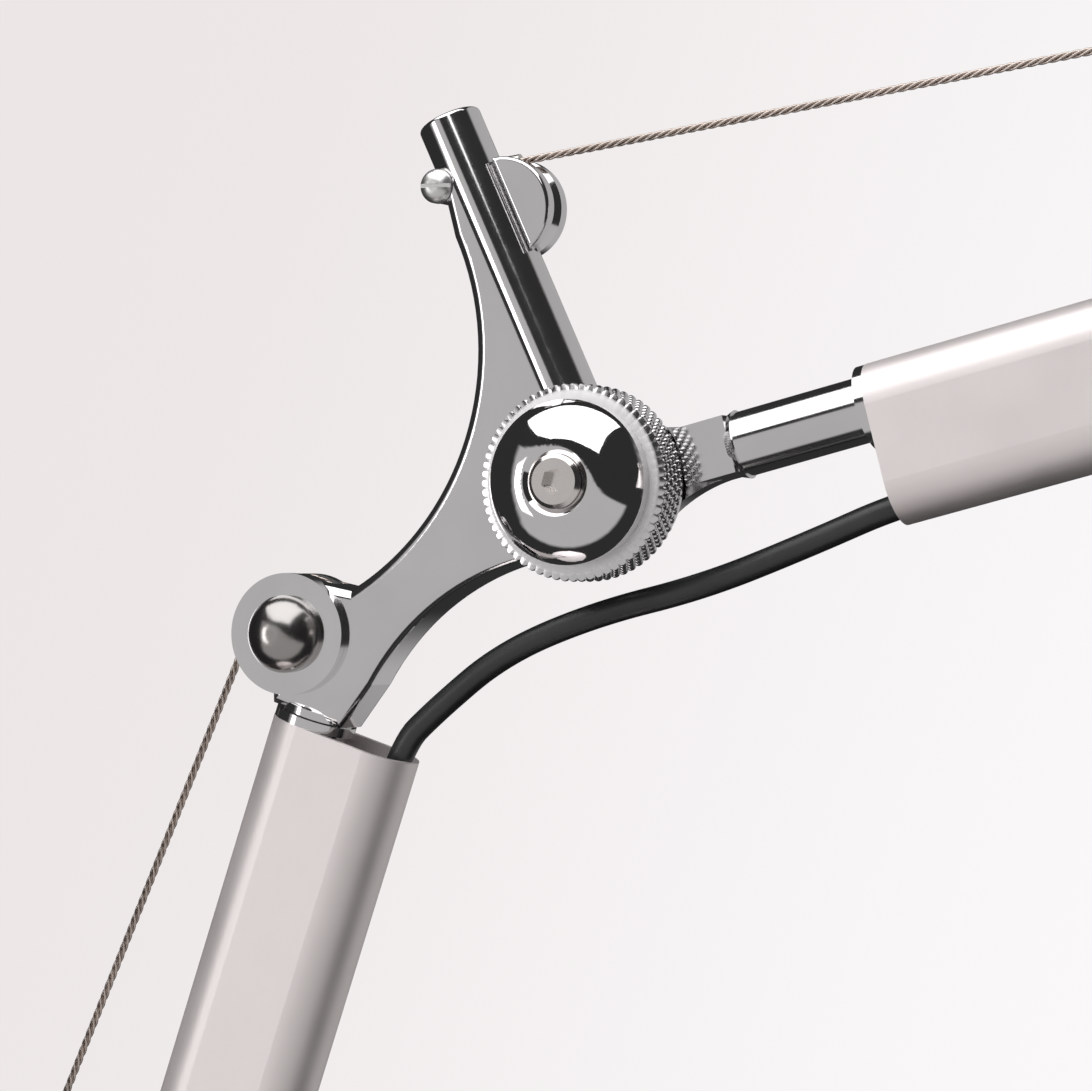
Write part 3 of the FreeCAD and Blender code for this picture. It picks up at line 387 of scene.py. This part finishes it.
def spline_points(points, steps):
    """Close points along the smooth line whose control points are given."""
    data = bpy.data.curves.new("route", "CURVE")
    data.dimensions = "3D"
    data.resolution_u = steps
    spline = data.splines.new("NURBS")
    spline.points.add(len(points) - 1)
    for point, place in zip(spline.points, points):
        point.co = (*place, 1.0)
    spline.order_u = 3
    spline.use_endpoint_u = True
    holder = bpy.data.objects.new("route", data)
    bpy.context.scene.collection.objects.link(holder)
    line = bpy.data.meshes.new_from_object(holder)
    found = [vertex.co.copy() for vertex in line.vertices]
    bpy.data.objects.remove(holder)
    bpy.data.curves.remove(data)
    bpy.data.meshes.remove(line)
    return found


def evenly(points, step):
    """Points a step apart along a line of close points, with the direction at each."""
    places = [points[0]]
    left = step
    for here, there in zip(points, points[1:]):
        gap = (there - here).length
        done = 0.0
        while gap - done >= left:
            done += left
            places.append(here.lerp(there, done / gap))
            left = step
        left -= gap - done
    places.append(points[-1])
    ways = []
    for i in range(len(places)):
        ahead = places[min(i + 1, len(places) - 1)]
        behind = places[max(i - 1, 0)]
        ways.append((ahead - behind).normalized())
    return places, ways


ACROSS = Vector((0, 1, 0))


def tube_faces(rings, sides):
    """Faces of a closed tube whose vertices are listed ring after ring."""
    faces = []
    for i in range(rings - 1):
        for j in range(sides):
            k = (j + 1) % sides
            faces.append((i * sides + j, i * sides + k, (i + 1) * sides + k, (i + 1) * sides + j))
    faces.append(tuple(range(sides)))
    faces.append(tuple(range(rings * sides - sides, rings * sides)))
    return faces


def sweep(centres, ways, radius, sides, offsets=None):
    """Vertices and faces of a closed tube along centres, or along offsets beside them."""
    vertices = []
    for i, (centre, way) in enumerate(zip(centres, ways)):
        side = ACROSS.cross(way).normalized()
        middle = centre if offsets is None else offsets[i]
        for j in range(sides):
            turn = 2 * math.pi * j / sides
            vertices.append(middle + side * (radius * math.cos(turn)) + ACROSS * (radius * math.sin(turn)))
    return vertices, tube_faces(len(centres), sides)


def gather(parts):
    """The vertices and faces of several meshes as one."""
    vertices = []
    faces = []
    for more, quads in parts:
        base = len(vertices)
        vertices.extend(more)
        faces.extend(tuple(base + index for index in quad) for quad in quads)
    return vertices, faces


# ---- leads and ropes, the same routes as in the model ----
LEAD_R = 1.6 * MM
LEAD_V = -12.1
LEAD_INSIDE = 15.0           # millimetres of lead inside each tube
LEAD_STEP = 0.9              # millimetres between its rings
LEAD_SIDES = 20
LEAD_DIVISIONS = 24          # close points for each stretch of its route
ELBOW_LEAD = [(-22.4, -27.9), (-13.4, -20.8), (-1.0, -15.9), (13.0, -12.6), (26.2, -7.6)]
HEAD_LEAD = [(-17.0, -15.2), (-4.0, -17.4), (8.5, -16.6)]
LINK_INLET = (21.8, -4.0)
INLET_ANGLE = 51.7
LOWER_TUBE_TOP = 322.0
UPPER_TUBE = (36.4, 310.0)


def lead(name, points):
    """The sheath swept along a route from start to end, baked in place."""
    centres, ways = evenly(spline_points(points, LEAD_DIVISIONS), LEAD_STEP * MM)
    vertices, faces = sweep(centres, ways, LEAD_R, LEAD_SIDES)
    piece = new_mesh(name + "_sheath", vertices, faces, MATERIALS["black_lead"], 40.0)
    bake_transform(piece)
    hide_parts(name)


def elbow_lead():
    start = beyond(BASE_PIVOT, LOWER_TUBE_TOP - LEAD_INSIDE, LEAD_V, LOWER_ANGLE)
    mouth = beyond(BASE_PIVOT, LOWER_TUBE_TOP + 0.8, LEAD_V + 0.3, LOWER_ANGLE)
    entry = beyond(ELBOW, UPPER_TUBE[0] + 1.5, LEAD_V + 0.3, UPPER_ANGLE)
    end = beyond(ELBOW, UPPER_TUBE[0] + LEAD_INSIDE, LEAD_V, UPPER_ANGLE)
    free = [ELBOW + Vector((x, 0, z)) * MM for x, z in ELBOW_LEAD]
    lead("elbow_lead", [start, mouth] + free + [entry, end])


def head_lead():
    start = beyond(ELBOW, UPPER_TUBE[1] - LEAD_INSIDE, LEAD_V, UPPER_ANGLE)
    mouth = beyond(ELBOW, UPPER_TUBE[1] - 0.5, LEAD_V + 0.1, UPPER_ANGLE)
    free = [beyond(HEAD, u, v, LINK_ANGLE) for u, v in HEAD_LEAD]
    turn = math.radians(INLET_ANGLE)
    inlet = []
    for reach in (9.0, 0.0):
        u = LINK_INLET[0] - reach * math.cos(turn)
        v = LINK_INLET[1] - reach * math.sin(turn)
        inlet.append(beyond(HEAD, u, v, LINK_ANGLE))
    lead("head_lead", [start, mouth] + free + inlet)


ROPE_R = 0.5
STRANDS = 4
STRAND_R = 0.185
CORE_R = 0.16
STRAND_STEP = 0.42           # millimetres between the rings of a strand
STRAND_SIDES = 8
CORE_SIDES = 6
LAY_LENGTH = 5.4             # millimetres for a strand to go once round
ROPE_DIVISIONS = 40          # close points for each stretch of a rope's route


def wheel_corners(centre, radius, start_angle, end_angle, count):
    """Corners of the polygon that the rope's arc round a wheel touches on the inside."""
    half = (end_angle - start_angle) / count / 2
    reach = radius / math.cos(math.radians(half))
    corners = []
    for i in range(count):
        a = math.radians(start_angle + half * (2 * i + 1))
        corners.append((centre[0] + reach * math.cos(a), centre[1] + reach * math.sin(a)))
    return corners


def rope(name, points):
    """Strands laid round a core along a route from start to end, baked in place."""
    centres, ways = evenly(spline_points(points, ROPE_DIVISIONS), STRAND_STEP * MM)
    parts = []
    orbit = (ROPE_R - STRAND_R) * MM
    for strand in range(STRANDS):
        offsets = []
        for i, (centre, way) in enumerate(zip(centres, ways)):
            turn = 2 * math.pi * (strand / STRANDS - i * STRAND_STEP / LAY_LENGTH)
            side = ACROSS.cross(way).normalized()
            offsets.append(centre + side * (orbit * math.cos(turn)) + ACROSS * (orbit * math.sin(turn)))
        parts.append(sweep(centres, ways, STRAND_R * MM, STRAND_SIDES, offsets))
    parts.append(sweep(centres, ways, CORE_R * MM, CORE_SIDES))
    vertices, faces = gather(parts)
    piece = new_mesh(name + "_strands", vertices, faces, MATERIALS["steel_rope"], 60.0)
    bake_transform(piece)
    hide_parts(name)


SADDLE_ALONG, SADDLE_ACROSS, SADDLE_R = 36.3, 2.9, 5.1
ROPE_CLOSE = 6.4             # degrees that the upper rope closes on its arm
ROPE_TAIL = 4.6              # millimetres that it reaches back over the saddle
TIP_TURNS = 4                # corners of its route round the tip pulley
TIP_V = 1.5
TIP_RADIUS = 4.0
UPPER_HOOK = 250.0


def upper_rope():
    saddle = beyond(ELBOW, SADDLE_ALONG, -SADDLE_ACROSS, POST_ANGLE) - ELBOW
    a = math.radians(UPPER_ANGLE)
    close = math.radians(-ROPE_CLOSE)
    along = Vector((math.cos(close), math.sin(close)))
    u = (saddle.x * math.cos(a) + saddle.z * math.sin(a)) / MM - (SADDLE_R + ROPE_R) * math.sin(close)
    v = (saddle.z * math.cos(a) - saddle.x * math.sin(a)) / MM + (SADDLE_R + ROPE_R) * math.cos(close)
    wheel_u = u + ((v - TIP_V) * along.x - TIP_RADIUS) / -along.y
    corners = wheel_corners((wheel_u, TIP_V), TIP_RADIUS, 90 - ROPE_CLOSE, -90, TIP_TURNS)
    lead_in = TIP_RADIUS * math.tan(math.radians((180 - ROPE_CLOSE) / TIP_TURNS / 2))
    touch = (wheel_u + TIP_RADIUS * math.sin(-close), TIP_V + TIP_RADIUS * math.cos(close))
    line = [(u - ROPE_TAIL * along.x, v - ROPE_TAIL * along.y),
            (touch[0] - lead_in * along.x, touch[1] - lead_in * along.y), *corners,
            (wheel_u - lead_in, TIP_V - TIP_RADIUS), (UPPER_HOOK, TIP_V - TIP_RADIUS)]
    points = [beyond(ELBOW, x, z, UPPER_ANGLE) for x, z in line]
    rope("upper_rope", points)


PULLEY_U, PULLEY_V, PULLEY_RADIUS = 332.5, 5.05, 7.1
ROPE_SPREAD = 5.35           # degrees that the lower rope opens from its arm
LOWER_HOOK = 262.0
PULLEY_TURNS = 4             # corners of its route round the elbow pulley


def lower_rope():
    spread = math.radians(ROPE_SPREAD)
    touch_u = PULLEY_U + PULLEY_RADIUS * math.sin(spread)
    touch_v = PULLEY_V + PULLEY_RADIUS * math.cos(spread)
    reach = touch_v + touch_u * math.tan(spread)
    corners = wheel_corners((PULLEY_U, PULLEY_V), PULLEY_RADIUS, 90 - ROPE_SPREAD, -90, PULLEY_TURNS)
    lead_in = PULLEY_RADIUS * math.tan(math.radians((180 - ROPE_SPREAD) / PULLEY_TURNS / 2))
    line = [(0.0, reach),
            (touch_u - lead_in * math.cos(spread), touch_v + lead_in * math.sin(spread)), *corners,
            (PULLEY_U - lead_in, PULLEY_V - PULLEY_RADIUS), (LOWER_HOOK, PULLEY_V - PULLEY_RADIUS)]
    points = [beyond(BASE_PIVOT, x, z, LOWER_ANGLE) for x, z in line]
    rope("lower_rope", points)


elbow_lead()
head_lead()
upper_rope()
lower_rope()


# ---- balance springs ----
SPRING_R = 3.8
WIRE_R = 0.6
COIL_GAP = 0.03              # least gap between turns, in millimetres
COIL_STEPS = 14
WIRE_SIDES = 6
LOWER_SPRING_START = 44.1
UPPER_SPRING_START = 48.5


def coil(name, pivot, angle, start, end, v, body):
    """Close-wound spring from start to end along an arm."""
    orbit = SPRING_R - WIRE_R
    turns = int((end - start - 2 * WIRE_R) / (2 * WIRE_R + COIL_GAP))
    pitch = (end - start - 2 * WIRE_R) / turns
    a = math.radians(angle)
    along = Vector((math.cos(a), 0, math.sin(a)))
    side = Vector((-math.sin(a), 0, math.cos(a)))
    vertices = []
    count = turns * COIL_STEPS + 1
    for i in range(count):
        turn = 2 * math.pi * i / COIL_STEPS
        out = side * math.cos(turn) + ACROSS * math.sin(turn)
        centre = beyond(pivot, start + WIRE_R + pitch * i / COIL_STEPS, v, angle) + out * (orbit * MM)
        for j in range(WIRE_SIDES):
            ring = 2 * math.pi * j / WIRE_SIDES
            vertices.append(centre + (out * math.cos(ring) + along * math.sin(ring)) * (WIRE_R * MM))
    faces = tube_faces(count, WIRE_SIDES)
    piece = new_mesh(name + "_coils", vertices, faces, MATERIALS["spring_steel"], 60.0)
    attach(piece, body)
    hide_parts(name)


coil("lower_spring", BASE_PIVOT, LOWER_ANGLE, LOWER_SPRING_START, LOWER_HOOK, PULLEY_V - PULLEY_RADIUS,
     "lower_arm")
coil("upper_spring", ELBOW, UPPER_ANGLE, UPPER_SPRING_START, UPPER_HOOK, TIP_V - TIP_RADIUS, "upper_arm")


# ---- knurled knob rings ----
KNOB_R, KNOB_T, BOLT_BORE = 12.0, 6.4, 2.55
BEADS, BEAD_ROWS = 64, 5     # beads in a row round the rim, and rows
BEAD_R, ROW_GAP = 0.60, 1.30
BEAD_STAND = 0.8 * BEAD_R    # how far the tallest point of a bead stands up
BEAD_FACETS = 8              # divisions of the rim for each bead
RIM_START, RIM_SPAN = 0.35, KNOB_T - 0.5
RIM_STEPS = 36


def bead_height(around, along):
    """Height of the round beads at a point of the rim, as a share of a whole bead's."""
    row = round(along / ROW_GAP)
    high = 0.0
    for near in (row - 1, row, row + 1):
        if abs(near) > (BEAD_ROWS - 1) / 2:
            continue
        shift = (near % 2) / 2
        across = (around - shift - round(around - shift)) * 2 * math.pi * KNOB_R / BEADS
        gap = math.hypot(across, along - near * ROW_GAP) / BEAD_R
        high = max(high, math.sqrt(max(0.0, 1.0 - gap * gap)))
    return high


def knurled_ring(name, node, pivot, body, finish):
    """Clamping ring with rows of round beads on its rim and a shallow recessed face."""
    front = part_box(node)[0].y
    segments = BEADS * BEAD_FACETS
    rim_r = KNOB_R - BEAD_STAND
    profile = [(BOLT_BORE, 1.0), (KNOB_R - 3.0, 1.0), (KNOB_R - 3.0, 0.1), (KNOB_R - 2.9, 0.0),
               (KNOB_R - 2.0, 0.03), (KNOB_R - 1.2, 0.15)]
    profile += [(rim_r, RIM_START + RIM_SPAN * i / RIM_STEPS) for i in range(RIM_STEPS + 1)]
    profile += [(KNOB_R - 1.2, KNOB_T), (BOLT_BORE, KNOB_T)]
    vertices = []
    for s in range(segments):
        turn = 2 * math.pi * s / segments
        for r, y in profile:
            if r == rim_r:
                r += BEAD_STAND * bead_height(s / BEAD_FACETS, y - RIM_START - RIM_SPAN / 2)
            vertices.append((pivot.x + r * MM * math.cos(turn), front + y * MM,
                             pivot.z + r * MM * math.sin(turn)))
    count = len(profile)
    faces = []
    for s in range(segments):
        t = (s + 1) % segments
        for i in range(count):
            j = (i + 1) % count
            faces.append((s * count + i, s * count + j, t * count + j, t * count + i))
    piece = new_mesh(name, vertices, faces, finish, 50.0)
    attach(piece, body)
    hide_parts(node)


knurled_ring("elbow_knurled_ring", "elbow_knob_ring", ELBOW, "elbow_knob",
             knurled_metal("elbow_knurl", ELBOW))
knurled_ring("base_knurled_ring", "base_knob_ring", BASE_PIVOT, "base_knob",
             knurled_metal("base_knurl", BASE_PIVOT))


# ---- studio ----
FLOOR_R = 6.0
FLOOR_FADE = (1.0, 2.6)      # metres from the lamp where the floor starts and ends fading out
FLOOR_DROP = 0.0002
SOFTBOX_SIZE = (1.4, 1.9)
SOFTBOX_PLACE = (-0.2, -0.85, 0.8)     # metres from the elbow, facing down
SOFTBOX_POWER = 15.0


def make_floor():
    """Pale round floor that fades out, so that no horizon shows."""
    work = bmesh.new()
    bmesh.ops.create_circle(work, cap_ends=True, segments=128, radius=FLOOR_R)
    mesh = bpy.data.meshes.new("floor")
    work.to_mesh(mesh)
    work.free()
    floor = bpy.data.objects.new("floor", mesh)
    bpy.context.scene.collection.objects.link(floor)
    tree = Tree("floor_pale")
    tree.material.surface_render_method = "BLENDED"
    grain = tree.noise(tree.place((1, 1, 1)), 0.02, 3.0)
    tree.tint(grain, (0.80, 0.785, 0.78), (0.82, 0.805, 0.80))
    tree.set(Roughness=0.9)
    fade = tree.spread(tree.distance((0, 0, 0), (1, 1, 0)), "Value", 1.0, 0.0, *FLOOR_FADE)
    fade.interpolation_type = "SMOOTHSTEP"
    tree.join(fade, "Result", tree.shader, "Alpha")
    mesh.materials.append(tree.material)
    floor.location.z = cad_low.z - FLOOR_DROP
    floor.visible_glossy = False
    floor.visible_diffuse = False


def make_softbox():
    data = bpy.data.lights.new("softbox", "AREA")
    data.shape = "RECTANGLE"
    data.size, data.size_y = SOFTBOX_SIZE
    data.energy = SOFTBOX_POWER
    light = bpy.data.objects.new("softbox", data)
    bpy.context.scene.collection.objects.link(light)
    light.location = ELBOW + Vector(SOFTBOX_PLACE)


STUDIO_WHITE = (1.0, 0.985, 0.98)
BACKDROP = ((0.84, 0.795, 0.793), (0.955, 0.935, 0.945))     # painted light and shade on the backdrop: darker at the upper left, lighter towards the lower right
CARD, STRIP, REAR = 0.46, 2.4, 0.45                          # brightness of what the metal mirrors
DARK = 0.03


def make_world():
    """Pale all round for the eye; for reflections a studio with a grey card in front and dark sides."""
    world = bpy.data.worlds.new("studio")
    bpy.context.scene.world = world
    world.use_nodes = True
    nodes = world.node_tree.nodes
    links = world.node_tree.links
    nodes.clear()
    output = nodes.new("ShaderNodeOutputWorld")
    where = nodes.new("ShaderNodeTexCoord")

    def along(direction, low, high, to_low, to_high):
        """A value that goes from to_low to to_high as the view turns towards direction."""
        dot = nodes.new("ShaderNodeVectorMath")
        dot.operation = "DOT_PRODUCT"
        dot.inputs[1].default_value = Vector(direction).normalized()
        links.new(where.outputs["Generated"], dot.inputs[0])
        spread = nodes.new("ShaderNodeMapRange")
        spread.interpolation_type = "SMOOTHSTEP"
        for key, value in (("From Min", low), ("From Max", high), ("To Min", to_low), ("To Max", to_high)):
            spread.inputs[key].default_value = value
        links.new(dot.outputs["Value"], spread.inputs["Value"])
        return spread.outputs["Result"]

    def combined(operation, first, *others):
        for other in others:
            node = nodes.new("ShaderNodeMath")
            node.operation = operation
            links.new(first, node.inputs[0])
            links.new(other, node.inputs[1])
            first = node.outputs["Value"]
        return first

    def background(strength):
        node = nodes.new("ShaderNodeBackground")
        node.inputs["Color"].default_value = (*STUDIO_WHITE, 1)
        links.new(strength, node.inputs["Strength"])
        return node

    card = combined("MULTIPLY", along((0, 1, 0), -0.42, -0.28, CARD, 0.0),
                    along((1, 0, 0), -0.85, -0.75, 0.0, 1.0), along((0.5, 0, 1), -0.018, 0.03, 1.0, 0.0))
    beside = (0.755, -0.656, 0)
    strip = combined("MULTIPLY", along(beside, -0.11, -0.09, 0.0, STRIP), along(beside, 0.09, 0.11, 1.0, 0.0),
                     along((0, 0, 1), -0.26, -0.20, 0.0, 1.0), along((0, 0, 1), 0.14, 0.19, 1.0, 0.0),
                     along((0, 1, 0), -0.3, -0.25, 1.0, 0.0))
    rear = along((0.6, 0.8, 0.15), 0.60, 0.75, DARK, REAR)
    mirrored = background(combined("ADD", card, strip, rear))
    soft = background(along((-0.35, -0.75, 0.6), -0.6, 0.8, 0.12, 1.10))
    seen = nodes.new("ShaderNodeBackground")
    ramp = nodes.new("ShaderNodeValToRGB")
    for element, colour in zip(ramp.color_ramp.elements, BACKDROP):
        element.color = (*colour, 1)
    # painted light and shade: the backdrop seen by the camera darkens towards the upper left
    links.new(along((0.93, 0.37, -0.35), -0.15, 0.16, 0.0, 1.0), ramp.inputs["Fac"])
    links.new(ramp.outputs["Color"], seen.inputs["Color"])
    path = nodes.new("ShaderNodeLightPath")

    def chosen(kind, otherwise, there):
        """The background there for one kind of ray, and otherwise for the rest."""
        node = nodes.new("ShaderNodeMixShader")
        links.new(path.outputs[kind], node.inputs["Fac"])
        links.new(otherwise, node.inputs[1])
        links.new(there.outputs["Background"], node.inputs[2])
        return node.outputs["Shader"]

    lit = chosen("Is Diffuse Ray", mirrored.outputs["Background"], soft)
    links.new(chosen("Is Camera Ray", lit, seen), output.inputs["Surface"])


def make_studio():
    make_floor()
    make_world()
    make_softbox()
    bpy.context.scene.view_settings.view_transform = "Standard"


make_studio()
